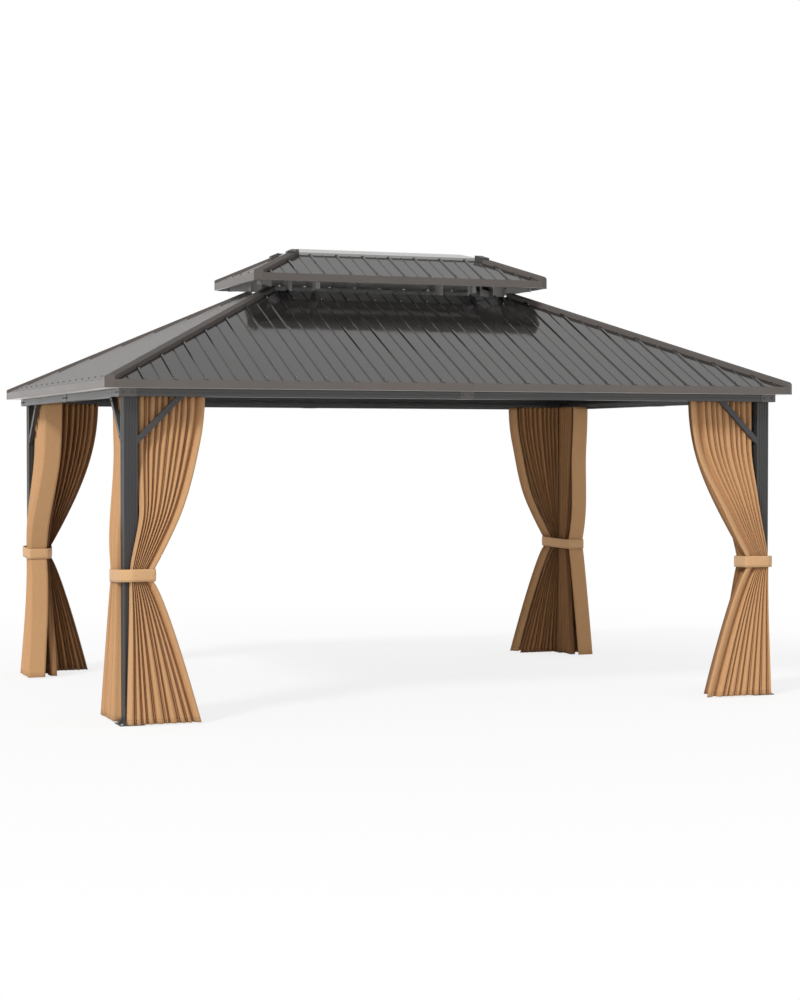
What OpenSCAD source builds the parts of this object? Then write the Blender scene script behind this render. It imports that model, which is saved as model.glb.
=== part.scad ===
// Hardtop garden gazebo: four fluted posts, a beam frame and a two-tier ribbed hip roof.
// The origin is on the ground at the middle of the plan, X runs along the long side, Z is up.

/* [Overall] */
// Length of the lower roof over its fascia
roof_length = 4880; // [4200:10:5600]
// Depth of the lower roof over its fascia
roof_depth = 3560; // [3000:10:4200]
// Height from the ground to the underside of the beams
clear_height = 2058; // [1900:2:2400]
// Distance from the beam's outer face to the outside of the fascia
eave_overhang = 103; // [70:1:120]

/* [Posts] */
// Side of the square post
post_size = 90; // [75:1:105]
// Metal left behind the flutes of the post
post_wall = 2.5; // [2:0.5:5]
// Distance from the beam's outer face to the post's outer face
post_inset = 33; // [20:1:35]
// Flutes on each face of a post
flute_count = 4; // [2:1:5]
// Width of a flute
flute_width = 9; // [5:1:11]
// Depth of a flute
flute_depth = 3; // [1:0.5:5]

/* [Feet] */
// Side of the square foot plate
foot_size = 160; // [150:1:200]
// Thickness of the foot plate
foot_thickness = 6; // [4:1:8]
// Distance between the anchor holes of a foot
anchor_spacing = 125; // [115:1:130]
// Diameter of an anchor hole
anchor_hole = 12; // [8:1:14]
// Height of the gusset that stiffens a foot
gusset_height = 50; // [30:1:80]
// Thickness of the gusset
gusset_thickness = 5; // [3:1:8]
// Height of the gusset's outer end
gusset_toe = 6; // [3:1:10]

/* [Beams] */
// Width of a beam
beam_width = 64; // [56:1:64]
// Height of a beam
beam_height = 100; // [80:1:110]
// Metal left behind the grooves of a beam
beam_wall = 2.5; // [2:0.5:4]
// Grooves along the outer face of a beam
groove_count = 3; // [1:1:4]
// Width of a groove
groove_width = 9; // [4:1:12]
// Depth of a groove
groove_depth = 3; // [1:0.5:5]
// Gap between the two lengths of a beam or fascia
joint_gap = 0.8; // [0.4:0.1:0.9]
// Length of the cover over a beam's joint
splice_length = 100; // [60:5:200]
// Length of each leg of the corner cover
corner_leg = 110; // [80:5:160]
// Thickness of the covers
cover_thickness = 2; // [1:0.5:4]
// Rise and reach of a knee brace
brace_reach = 300; // [200:10:450]
// Depth of a knee brace in its own plane
brace_depth = 36; // [25:1:50]
// Thickness of a knee brace
brace_thickness = 28; // [20:1:29]
// Distance from the post's outer face to a knee brace
brace_set_in = 1; // [0:0.5:2]

/* [Lower roof] */
// Slope of the lower roof in degrees
roof_pitch = 25; // [20:0.5:30]
// Height of the fascia
fascia_height = 52; // [40:1:70]
// Height of the fascia's lower edge above the beam's underside
fascia_lift = 50; // [40:1:70]
// Thickness of the fascia
fascia_thickness = 2; // [1:0.5:3]
// Width of the ledge that carries the sheets' lower edge
fascia_ledge = 24; // [15:1:35]
// Thickness of the roof sheets
sheet_thickness = 1.2; // [0.8:0.1:2]
// Distance between the main ribs
rib_pitch = 200; // [150:5:300]
// Height of a main rib
rib_height = 9; // [6:1:24]
// Width of a main rib at its foot
rib_foot = 26; // [22:1:60]
// Width of a main rib at its crown
rib_crown = 14; // [8:1:20]
// Height of the small rib between two main ones
swage_height = 4; // [2:0.5:6]
// Width of the small rib
swage_width = 14; // [10:1:40]
// Depth of the vent opening at the top of the lower roof
vent_depth = 570; // [500:10:640]
// Width of the cap over a hip
hip_cap_width = 76; // [60:1:90]
// Height of a hip cap over the sheet's underside
hip_cap_height = 28; // [26:1:40]
// Wall of a hip cap
cap_wall = 2; // [1:0.5:4]

/* [Roof frame] */
// Width of the eave rail on the beam
rail_width = 40; // [25:1:50]
// Distance from the beam's outer face to the eave rail
rail_set_in = 10; // [5:1:15]
// Width of a rafter
rafter_width = 40; // [30:1:60]
// Depth of a rafter
rafter_depth = 45; // [35:1:48]
// Wall of the roof frame's tubes
tube_wall = 2.5; // [1.5:0.5:4]
// Width of the hip rafter's flange, which carries the sheets on both sides
hip_flange = 116; // [100:1:140]
// Thickness of the hip rafter's flange
hip_flange_thickness = 3; // [2:0.5:5]
// Distance from the middle to the common rafters on the long sides
rafter_offset = 600; // [300:10:800]
// Width of the ring round the vent opening
vent_ring_width = 80; // [70:1:100]
// Height of that ring
vent_ring_height = 40; // [25:1:60]

/* [Upper roof] */
// Distance that the upper roof reaches over each end of the vent opening
end_overlap = 170; // [120:5:200]
// Distance that the upper roof reaches over each long side of the vent opening
side_overlap = 275; // [230:5:290]
// Slope of the upper roof in degrees
upper_pitch = 24.5; // [20:0.5:28]
// Height of the upper fascia's lower edge over the top edge of the lower sheets
vent_gap = 52; // [46:1:90]
// Depth of the ridge lid
lid_depth = 362; // [300:2:420]
// Rise of the ridge lid from its edge to its ridge
lid_rise = 42; // [30:1:80]
// Height of the ridge lid's upright rim
lid_rim = 34; // [28:1:45]
// Distance from the lid's short edge to the end of its ridge
lid_setback = 95; // [60:5:160]
// Distance from the upper fascia to the outside of the upper support ring
support_inset = 170; // [150:5:190]
// Width and height of the tubes of the upper support ring
support_tube = 30; // [20:1:40]
// Depth of the upper hip rafters
upper_rafter_depth = 26; // [20:1:40]
// Length of the block at each corner of the lid
block_length = 44; // [30:1:60]
// Height of that block over the sheet's underside
block_height = 40; // [32:1:50]
// Thickness of the vent brackets
bracket_thickness = 3; // [2:0.5:5]
// Width of a vent bracket's outer flange
bracket_flange = 32; // [20:1:50]
// Room that the vent brackets leave over ribs, caps and sheet edges
bracket_clear = 6; // [3:1:12]
// Reach of the brackets on the long sides beyond the opening
bracket_reach = 75; // [40:1:90]
// Reach of the brackets on the short sides beyond the opening
end_bracket_reach = 45; // [30:1:60]
// Reach of the brackets at the corners beyond the opening
corner_bracket_reach = 135; // [90:1:150]

/* [Curtains] */
// Depth of a gathered curtain from front to back
curtain_depth = 60; // [40:1:62]
// Distance from the post's outer face to the middle of a curtain
curtain_line = 62; // [58:1:64]
// Depth of a gathered net from front to back
net_depth = 56; // [30:1:60]
// Distance from the post's outer face to the middle of a net
net_line = 136; // [132:1:140]
// Gap between the post and a curtain beside it
post_gap = 9; // [6:1:12]
// Gap between two cloths that hang side by side
cloth_gap = 6; // [4:1:8]
// Width of a gathered curtain at its top
curtain_top_width = 440; // [300:5:600]
// Width of a gathered curtain at the tie-back
curtain_tie_width = 160; // [120:1:180]
// Width of a gathered curtain at its hem
curtain_hem_width = 490; // [400:5:550]
// Distance along the front from the post's corner to a tied curtain
tie_start = 30; // [20:1:60]
// Distance from the post's outer face to the middle of a tied curtain beside the post
side_line = 0; // [-10:1:40]
// Distance that the hem of a curtain beside the post swings outwards
side_flare = 25; // [0:1:40]
// Gap between the post and a tied curtain of the front or back
tie_gap = 8; // [6:1:12]
// Height over which a curtain comes forward below the knee brace
come_out = 350; // [250:10:450]
// Width of a gathered net at the tie-back
net_tie_width = 90; // [70:1:120]
// Width of a gathered net at its hem
net_hem_width = 400; // [250:5:550]
// Height of the hems over the ground
hem_height = 10; // [8:1:30]
// Height of the middle of the tie-backs
tie_height = 935; // [800:5:1100]
// Width of a tie-back's strap
tie_strap = 78; // [40:1:100]
// Thickness of a tie-back's strap
tie_thickness = 3; // [2:0.5:5]
// Height of the curtain track
track_height = 22; // [18:1:30]
// Height of the track over the beam's underside
track_lift = 16; // [5:1:30]
// Width of one channel of the track
channel_width = 20; // [14:1:24]

/* [Hidden] */
// Clearance between pieces that lie side by side
fit = 0.5;
// Gap that a soft piece keeps from what holds it
soft_gap = 0.3;
// Extra length that a cut takes off again
margin = 120;
$fn = 48;

beam_length = roof_length - 2 * eave_overhang;
beam_depth = roof_depth - 2 * eave_overhang;
beam_top = clear_height + beam_height;
post_x = beam_length / 2 - post_inset - post_size / 2;
post_y = beam_depth / 2 - post_inset - post_size / 2;
fascia_bottom = clear_height + fascia_lift;
fascia_top = fascia_bottom + fascia_height;
sky = 2 * (clear_height + roof_depth);

// The lower roof's sheets lie on a plane that starts one rib below the fascia's top edge
eave_z = fascia_top - rib_height;
vent_run = (roof_depth - vent_depth) / 2;
vent_length = roof_length - 2 * vent_run;
vent_z = eave_z + vent_run * tan(roof_pitch);
upper_length = vent_length + 2 * end_overlap;
upper_depth = vent_depth + 2 * side_overlap;
corner_cut = hip_cap_width / sqrt(2);
vent_ring_run = vent_run - vent_ring_width / 2;
vent_ring_top = eave_z + vent_ring_run * tan(roof_pitch);
rib_top_z = vent_z + (rib_height + sheet_thickness) / cos(roof_pitch);

// The upper roof follows the same rule from its own fascia
upper_fascia_bottom = vent_z + vent_gap;
upper_fascia_top = upper_fascia_bottom + fascia_height;
upper_eave_z = upper_fascia_top - rib_height;
lid_run = (upper_depth - lid_depth) / 2;
lid_length = upper_length - 2 * lid_run;
lid_ring_run = lid_run - support_tube;
lid_ring_top = upper_eave_z + lid_ring_run * tan(upper_pitch);
support_top = upper_eave_z + support_inset * tan(upper_pitch);
support_bottom = support_top - support_tube;
upper_flange = hip_cap_width + fascia_ledge;

// Places of the soft pieces, counted from the outer faces of a corner's post
curtain_start = post_size + post_gap;
net_start = curtain_start + cloth_gap;
side_net_start = net_line + net_depth / 2 + cloth_gap;
track_bottom = clear_height + track_lift;
curtain_top = track_bottom - soft_gap;
waist_bottom = tie_height - tie_strap / 2 - soft_gap;
waist_top = tie_height + tie_strap / 2 + soft_gap;
brace_foot = clear_height - brace_reach - soft_gap;
out_z = brace_foot - come_out;
tie_line = -tie_gap - curtain_depth / 2;
foot_reach = (foot_size - post_size) / 2;
hem_line = -foot_reach - cloth_gap - curtain_depth / 2;
side_hem_start = post_size + foot_reach + cloth_gap;

frame_color = [0.25, 0.26, 0.28];
trim_color = [0.36, 0.32, 0.30];
sheet_color = [0.30, 0.29, 0.29];
curtain_color = [0.78, 0.57, 0.34];
net_color = [0.36, 0.22, 0.12];

// Slope of a hip between two roof planes of the same pitch
function hip_slope(pitch) = atan(tan(pitch) / sqrt(2));

// Fall of each side of a hip piece away from its middle line
function hip_fall(pitch) = sin(hip_slope(pitch));

function reversed(points) = [for (i = [len(points) - 1 : -1 : 0]) points[i]];

// Half the length of a side (0 front, 1 right, 2 back, 3 left), and how far out that side lies
function half_side(side, length, depth) = (side % 2 == 0 ? length : depth) / 2;
function side_out(side, length, depth) = (side % 2 == 0 ? depth : length) / 2;

// Places a piece that is drawn for the front on another side
module on_side(side) {
  rotate([0, 0, 90 * side]) children();
}

// Places a piece that is drawn for the front left corner on another corner
module at_corner(right, back) {
  mirror([right, 0, 0]) mirror([0, back, 0]) children();
}

module at_corners() {
  for (right = [0, 1], back = [0, 1]) at_corner(right, back) children();
}

// Puts the outer corner of the front left post at zero, with the post on its positive side
module from_post_corner() {
  translate([-post_x - post_size / 2, -post_y - post_size / 2, 0]) children();
}

// Plan of one side between two distances from its outer line, with mitred ends
module side_plan(half, out, from, to, clear) {
  polygon([
    [-(half - from - clear), -out + from],
    [half - from - clear, -out + from],
    [half - to - clear, -out + to],
    [-(half - to - clear), -out + to]
  ]);
}

// Plan of a rectangle with its corners cut off, less a rectangle inside it
module ring_plan(length, depth, cut, inner_length, inner_depth) {
  difference() {
    intersection() {
      square([length, depth], center = true);
      rotate(45) square((length + depth) / sqrt(2) - sqrt(2) * cut, center = true);
    }
    square([inner_length, inner_depth], center = true);
  }
}

// Section of a square extrusion with flutes on all four faces
module fluted_section() {
  flute_step = post_size / (flute_count + 1);
  difference() {
    square(post_size, center = true);
    square(post_size - 2 * (post_wall + flute_depth), center = true);
    for (face = [0 : 3], i = [1 : flute_count])
      rotate(90 * face)
        translate([-post_size / 2 + i * flute_step - flute_width / 2, -post_size / 2 - 1])
          square([flute_width, flute_depth + 1]);
  }
}

module post(right, back) {
  color(frame_color)
    at_corner(right, back)
      translate([-post_x, -post_y, foot_thickness])
        linear_extrude(clear_height - foot_thickness) fluted_section();
}

// Foot plate with anchor holes, and a gusset on each of the two outer faces
module foot(right, back) {
  gusset_reach = (foot_size - post_size) / 2 - gusset_toe;
  color(frame_color)
    at_corner(right, back)
      translate([-post_x, -post_y, 0]) {
        difference() {
          translate([-foot_size / 2, -foot_size / 2, 0]) cube([foot_size, foot_size, foot_thickness]);
          for (x = [-1, 1], y = [-1, 1])
            translate([x * anchor_spacing / 2, y * anchor_spacing / 2, -1])
              cylinder(d = anchor_hole, h = foot_thickness + 2);
        }
        for (turn = [180, 270])
          rotate([0, 0, turn])
            translate([post_size / 2, gusset_thickness / 2, foot_thickness])
              rotate([90, 0, 0])
                linear_extrude(gusset_thickness)
                  polygon([[0, 0], [gusset_reach, 0], [gusset_reach, gusset_toe], [0, gusset_height]]);
      }
}

// Section of a beam, with its outer face at zero and grooves in that face
module beam_section() {
  groove_step = beam_height / (groove_count + 1);
  inner = beam_wall + groove_depth;
  difference() {
    square([beam_width, beam_height]);
    translate([inner, inner]) square([beam_width - 2 * inner, beam_height - 2 * inner]);
    for (i = [1 : groove_count])
      translate([-1, i * groove_step - groove_width / 2]) square([groove_depth + 1, groove_width]);
  }
}

// A beam in two lengths that meet at the middle of the side
module beam(side) {
  half = half_side(side, beam_length, beam_depth) - (side % 2 == 0 ? 0 : beam_width);
  color(frame_color)
    on_side(side)
      for (x = [-half, joint_gap / 2])
        translate([x, -side_out(side, beam_length, beam_depth), clear_height])
          rotate([90, 0, 90]) linear_extrude(half - joint_gap / 2) beam_section();
}

// Folded covers that wrap the outside of the beam corners
module corner_covers() {
  x = -beam_length / 2 - cover_thickness;
  y = -beam_depth / 2 - cover_thickness;
  height = fascia_lift + cover_thickness;
  color(trim_color)
    at_corners()
      translate([x, y, clear_height - cover_thickness]) {
        cube([corner_leg, cover_thickness, height]);
        cube([cover_thickness, corner_leg, height]);
        cube([corner_leg, post_inset + cover_thickness - fit, cover_thickness]);
        cube([post_inset + cover_thickness - fit, corner_leg, cover_thickness]);
      }
}

// Angle covers under and over the joint of each beam
module splice_covers() {
  color(trim_color)
    for (side = [0 : 3])
      on_side(side)
        translate([
          -splice_length / 2,
          -side_out(side, beam_length, beam_depth) - cover_thickness,
          clear_height - cover_thickness
        ]) {
          cube([splice_length, cover_thickness, fascia_lift + cover_thickness]);
          cube([splice_length, beam_width + cover_thickness, cover_thickness]);
        }
}

// Diagonal bars between the posts and the beams, near the outer faces
module knee_braces() {
  slant = brace_depth * sqrt(2);
  color(frame_color)
    at_corners()
      from_post_corner()
        for (turned = [0, 1])
          mirror([turned, -turned, 0])
            translate([post_size, brace_set_in + brace_thickness, clear_height])
              rotate([90, 0, 0])
                linear_extrude(brace_thickness)
                  polygon([
                    [0, -brace_reach],
                    [brace_reach, 0],
                    [brace_reach - slant, 0],
                    [0, -brace_reach + slant]
                  ]);
}

// Section of the double track, from the beam's inner face inwards
module track_section() {
  plate = 3;
  lip = 2;
  first = curtain_line + post_inset - beam_width;
  second = net_line + post_inset - beam_width;
  translate([0, track_height - plate]) square([second + channel_width / 2, plate]);
  for (middle = [first, second])
    translate([middle - channel_width / 2, 0])
      difference() {
        square([channel_width, track_height]);
        translate([lip, lip]) square([channel_width - 2 * lip, track_height - plate - lip]);
        translate([channel_width / 4, -1]) square([channel_width / 2, lip + 2]);
      }
}

// Double tracks for the curtains and the nets along the inside of the beams
module curtain_tracks() {
  color(frame_color)
    for (side = [0 : 3]) {
      half = half_side(side, beam_length, beam_depth);
      out = side_out(side, beam_length, beam_depth);
      on_side(side)
        intersection() {
          translate([-half, -out + beam_width, track_bottom])
            rotate([90, 0, 90]) linear_extrude(2 * half) track_section();
          linear_extrude(sky) side_plan(half, out, beam_width, out, fit);
        }
    }
}

// Hollow rails on the beams, with a slanted top under the sheets' lower ends
module eave_rails() {
  near = eave_overhang + rail_set_in;
  far = near + rail_width;
  clear = sqrt(2) * (hip_flange / 2 + fit);
  color(frame_color)
    for (side = [0 : 3]) {
      half = half_side(side, roof_length, roof_depth);
      out = side_out(side, roof_length, roof_depth);
      on_side(side)
        intersection() {
          translate([-half, -out, 0])
            rotate([90, 0, 90])
              linear_extrude(2 * half)
                difference() {
                  slanted_box(near, far, beam_top, 0);
                  slanted_box(near, far, beam_top, tube_wall);
                }
          linear_extrude(sky) side_plan(half, out, near, far, clear);
        }
    }
}

// Section between two distances from the eave, from a level up to the sheets' underside
module slanted_box(near, far, bottom, wall) {
  rise = tan(roof_pitch);
  polygon([
    [near + wall, bottom + wall],
    [far - wall, bottom + wall],
    [far - wall, eave_z + (far - wall) * rise - wall],
    [near + wall, eave_z + (near + wall) * rise - wall]
  ]);
}

// Runs a section up the front left hip of a roof, with the section's Y square to the hip
module up_hip(length, depth, base, pitch, run) {
  translate([-length / 2, -depth / 2, base])
    rotate([0, 0, 45])
      rotate([0, -hip_slope(pitch), 0])
        rotate([90, 0, 90])
          translate([0, 0, -margin])
            linear_extrude(run * sqrt(2) / cos(hip_slope(pitch)) + 2 * margin) children();
}

// Section of a hip rafter: a tube under a peaked flange that carries the sheets
module hip_rafter_section(pitch, flange, depth) {
  fall = hip_fall(pitch);
  plate = hip_flange_thickness;
  half = rafter_width / 2;
  difference() {
    polygon([
      [0, 0],
      [flange / 2, -flange / 2 * fall],
      [flange / 2, -flange / 2 * fall - plate],
      [half, -half * fall - plate],
      [half, -depth],
      [-half, -depth],
      [-half, -half * fall - plate],
      [-flange / 2, -flange / 2 * fall - plate],
      [-flange / 2, -flange / 2 * fall]
    ]);
    polygon([
      [half - tube_wall, -half * fall - plate],
      [half - tube_wall, -depth + tube_wall],
      [-half + tube_wall, -depth + tube_wall],
      [-half + tube_wall, -half * fall - plate]
    ]);
  }
}

// Rafters along the hips, from their seat on the beam corners up to the vent ring
module hip_rafters() {
  seat = (beam_top - eave_z + rafter_depth / cos(hip_slope(roof_pitch))) / tan(roof_pitch);
  color(frame_color)
    at_corners()
      intersection() {
        up_hip(roof_length, roof_depth, eave_z, roof_pitch, vent_run)
          hip_rafter_section(roof_pitch, hip_flange, rafter_depth);
        linear_extrude(sky)
          ring_plan(
            roof_length - 2 * seat, roof_depth - 2 * seat, 0,
            roof_length - 2 * vent_ring_run, roof_depth - 2 * vent_ring_run
          );
      }
}

// Rafters from the eave rails up to the vent ring, under the sheets
module common_rafters() {
  start = eave_overhang + rail_set_in + rail_width;
  rise = tan(roof_pitch);
  drop = rafter_depth / cos(roof_pitch);
  color(frame_color)
    for (side = [0 : 3])
      for (x = side % 2 == 0 ? [-rafter_offset, rafter_offset] : [0])
        on_side(side)
          translate([x + rafter_width / 2, -side_out(side, roof_length, roof_depth), eave_z])
            rotate([90, 0, -90])
              mirror([1, 0, 0])
                linear_extrude(rafter_width)
                  polygon([
                    [start, start * rise - drop],
                    [vent_ring_run, vent_ring_run * rise - drop],
                    [vent_ring_run, vent_ring_run * rise],
                    [start, start * rise]
                  ]);
}

// Four tubes round the vent opening, half of their width inside it
module vent_ring() {
  length = roof_length - 2 * vent_ring_run;
  depth = roof_depth - 2 * vent_ring_run;
  color(frame_color)
    for (side = [0 : 3])
      on_side(side)
        intersection() {
          tube_bar(side, length, depth, vent_ring_width, vent_ring_height, vent_ring_top);
          linear_extrude(sky)
            side_plan(
              half_side(side, length, depth), side_out(side, length, depth), 0, vent_ring_width, fit
            );
        }
}

// A level hollow bar along one side of a rectangle
module tube_bar(side, length, depth, width, height, top) {
  half = half_side(side, length, depth);
  translate([-half, -side_out(side, length, depth), top - height])
    rotate([90, 0, 90])
      linear_extrude(2 * half)
        difference() {
          square([width, height]);
          translate([tube_wall, tube_wall]) square([width - 2 * tube_wall, height - 2 * tube_wall]);
        }
}

// Outline of a vent bracket, with the opening's edge at zero and outwards to the right
module bracket_outline(reach, clear_z, outer_top, inner, bearing) {
  polygon([
    [-inner, vent_ring_top],
    [-bracket_clear / 2, vent_ring_top],
    [-bracket_clear / 2, clear_z],
    [reach, clear_z],
    [reach, outer_top],
    [bearing, outer_top],
    [bearing, support_bottom],
    [-inner, support_bottom]
  ]);
}

// Upright web and outer flange of a bracket, drawn along X
module bracket(reach, clear_z, outer_top, inner, bearing) {
  translate([0, bracket_thickness / 2, 0])
    rotate([90, 0, 0])
      linear_extrude(bracket_thickness) bracket_outline(reach, clear_z, outer_top, inner, bearing);
  translate([reach, -bracket_flange / 2, clear_z])
    cube([bracket_thickness, bracket_flange, outer_top - clear_z]);
}

// Brackets that stand on the vent ring and hold the upper roof over the opening
module vent_brackets() {
  inner = (vent_ring_width - bracket_clear) / 2;
  clear_z = rib_top_z + bracket_clear;
  cap_clear_z = vent_z + hip_cap_height / cos(hip_slope(roof_pitch)) + bracket_clear;
  color(frame_color) {
    for (side = [0, 2], x = [-rafter_offset, rafter_offset])
      on_side(side)
        translate([x, -vent_depth / 2, 0])
          rotate([0, 0, -90]) bracket(bracket_reach, clear_z, support_bottom, inner, 0);
    for (side = [1, 3])
      on_side(side)
        translate([0, -vent_length / 2, 0])
          rotate([0, 0, -90]) bracket(end_bracket_reach, clear_z, support_bottom, inner, 0);
    at_corners()
      translate([-vent_length / 2, -vent_depth / 2, 0])
        rotate([0, 0, 225])
          bracket(
            corner_bracket_reach, cap_clear_z, upper_fascia_top - bracket_clear,
            inner * sqrt(2), -inner / 2
          );
  }
}

// Support ring, hip rafters and lid ring that carry the upper roof
module upper_frame() {
  length = upper_length - 2 * support_inset;
  depth = upper_depth - 2 * support_inset;
  clear = sqrt(2) * (upper_flange / 2 + fit);
  lid_ring_length = upper_length - 2 * lid_ring_run;
  lid_ring_depth = upper_depth - 2 * lid_ring_run;
  color(frame_color) {
    for (side = [0 : 3])
      on_side(side)
        intersection() {
          tube_bar(side, length, depth, support_tube, support_tube, support_top);
          linear_extrude(sky)
            side_plan(half_side(side, length, depth), side_out(side, length, depth), 0, support_tube, clear);
        }
    for (side = [0 : 3])
      on_side(side)
        intersection() {
          tube_bar(side, lid_ring_length, lid_ring_depth, 2 * support_tube, support_tube, lid_ring_top);
          linear_extrude(sky)
            side_plan(
              half_side(side, lid_ring_length, lid_ring_depth),
              side_out(side, lid_ring_length, lid_ring_depth), 0, 2 * support_tube, fit
            );
        }
    at_corners()
      intersection() {
        up_hip(upper_length, upper_depth, upper_eave_z, upper_pitch, lid_run)
          hip_rafter_section(upper_pitch, upper_flange, upper_rafter_depth);
        linear_extrude(sky)
          ring_plan(
            upper_length - 2 * (fascia_ledge + cap_wall),
            upper_depth - 2 * (fascia_ledge + cap_wall),
            corner_cut,
            lid_ring_length + fit, lid_ring_depth + fit
          );
      }
  }
}

// Points of one main rib and of the small rib beside it
function rib_points(k) = [
  [k * rib_pitch - rib_foot / 2, 0],
  [k * rib_pitch - rib_crown / 2, rib_height],
  [k * rib_pitch + rib_crown / 2, rib_height],
  [k * rib_pitch + rib_foot / 2, 0],
  [(k + 0.5) * rib_pitch - swage_width / 2, 0],
  [(k + 0.5) * rib_pitch, swage_height],
  [(k + 0.5) * rib_pitch + swage_width / 2, 0]
];

// Section of the folded sheet, with its underside at zero between the ribs
module ribbed_section(half) {
  count = ceil(half / rib_pitch);
  edge = (count + 1) * rib_pitch;
  fold = concat([[-edge, 0]], [for (k = [-count : count]) each rib_points(k)], [[edge, 0]]);
  polygon(concat([for (p = fold) [p.x, p.y + sheet_thickness]], reversed(fold)));
}

// One slope of a roof: the folded sheet, cut to the plan between the two hip caps
module slope_sheet(side, length, depth, base, pitch, run) {
  half = half_side(side, length, depth);
  out = side_out(side, length, depth);
  slant = run / cos(pitch) + 2 * margin;
  clear = sqrt(2) * (hip_cap_width / 2 + fit);
  on_side(side)
    intersection() {
      translate([0, -out, base])
        rotate([90 + pitch, 0, 0])
          translate([0, 0, margin - slant]) linear_extrude(slant) ribbed_section(half);
      linear_extrude(sky) side_plan(half, out, fascia_thickness + fit, run, clear);
    }
}

module roof_sheet(side) {
  color(sheet_color) slope_sheet(side, roof_length, roof_depth, eave_z, roof_pitch, vent_run);
}

module upper_sheet(side) {
  color(sheet_color)
    slope_sheet(side, upper_length, upper_depth, upper_eave_z, upper_pitch, lid_run - fit);
}

// Fascia of one roof: a face, a lip below it and a ledge inside that carries the sheets
module fascia(length, depth, bottom, base, pitch, lip) {
  ledge_top = base + (fascia_thickness + fit) * tan(pitch);
  for (side = [0 : 3]) {
    half = half_side(side, length, depth);
    out = side_out(side, length, depth);
    on_side(side)
      difference() {
        union() {
          translate([-half + corner_cut, -out, bottom])
            cube([2 * (half - corner_cut), fascia_thickness, fascia_height]);
          translate([-half + corner_cut, -out, ledge_top - fascia_thickness])
            cube([2 * (half - corner_cut), fascia_ledge, fascia_thickness]);
          translate([0, 0, bottom])
            linear_extrude(fascia_thickness) lip_plan(half, out, lip);
        }
        translate([-joint_gap / 2, -out - 1, bottom - 1])
          cube([joint_gap, lip + 2, fascia_height + 2]);
      }
  }
}

// Plan of the fascia's lip, mitred with its neighbours behind the cut corners
module lip_plan(half, out, lip) {
  inner = max(lip, corner_cut / 2 + 1);
  miter = fit;
  intersection() {
    polygon([
      [-(half - corner_cut), -out],
      [half - corner_cut, -out],
      [half - corner_cut / 2 - miter, -out + corner_cut / 2],
      [half - inner - miter, -out + inner],
      [-(half - inner - miter), -out + inner],
      [-(half - corner_cut / 2 - miter), -out + corner_cut / 2]
    ]);
    translate([-half, -out]) square([2 * half, lip]);
  }
}

module eave_fascia() {
  color(trim_color)
    fascia(roof_length, roof_depth, fascia_bottom, eave_z, roof_pitch, eave_overhang - cover_thickness - fit);
}

module upper_fascia() {
  color(trim_color)
    fascia(upper_length, upper_depth, upper_fascia_bottom, upper_eave_z, upper_pitch, fascia_ledge);
}

// Section of a hip cap: a peaked cover with upright sides that stand on the rafter's flange
module hip_cap_section(pitch) {
  fall = hip_fall(pitch);
  half = hip_cap_width / 2;
  inner = half - cap_wall;
  polygon([
    [-half, -half * fall],
    [-half, hip_cap_height - half * fall],
    [0, hip_cap_height],
    [half, hip_cap_height - half * fall],
    [half, -half * fall],
    [inner, -inner * fall],
    [inner, hip_cap_height - cap_wall - inner * fall],
    [0, hip_cap_height - cap_wall],
    [-inner, hip_cap_height - cap_wall - inner * fall],
    [-inner, -inner * fall]
  ]);
}

// Hip caps of one roof, each with a five-sided end plate over the cut corner of the fascia
module hip_cap_set(length, depth, base, pitch, run, bottom, inner_length, inner_depth) {
  half = hip_cap_width / 2;
  peak = base + corner_cut / 2 * tan(pitch) + hip_cap_height / cos(hip_slope(pitch));
  shoulder = peak - half * tan(pitch) / sqrt(2);
  end_cut = corner_cut - cap_wall / sqrt(2);
  at_corners() {
    intersection() {
      up_hip(length, depth, base, pitch, run) hip_cap_section(pitch);
      linear_extrude(sky) ring_plan(length, depth, end_cut, inner_length, inner_depth);
    }
    translate([-length / 2 + corner_cut / 2, -depth / 2 + corner_cut / 2, 0])
      rotate([0, 0, 45])
        rotate([90, 0, -90])
          linear_extrude(cap_wall)
            polygon([[-half, bottom], [half, bottom], [half, shoulder], [0, peak], [-half, shoulder]]);
  }
}

module hip_caps() {
  color(trim_color)
    hip_cap_set(
      roof_length, roof_depth, eave_z, roof_pitch, vent_run, fascia_bottom, vent_length, vent_depth
    );
}

module upper_hip_caps() {
  color(trim_color)
    hip_cap_set(
      upper_length, upper_depth, upper_eave_z, upper_pitch, lid_run, upper_fascia_bottom,
      lid_length + 2 * block_length, lid_depth + 2 * block_length
    );
}

// Solid blocks that close the upper ends of the hip caps at the corners of the lid
module hip_end_blocks() {
  fall = hip_fall(upper_pitch);
  half = hip_cap_width / 2;
  color([0.16, 0.15, 0.15])
    at_corners()
      intersection() {
        up_hip(upper_length, upper_depth, upper_eave_z, upper_pitch, lid_run)
          polygon([
            [-half, -half * fall],
            [-half, block_height - half * fall],
            [0, block_height],
            [half, block_height - half * fall],
            [half, -half * fall],
            [0, 0]
          ]);
        linear_extrude(sky)
          ring_plan(
            lid_length + 2 * block_length - fit, lid_depth + 2 * block_length - fit, 0,
            lid_length + fit, lid_depth + fit
          );
      }
}

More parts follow.
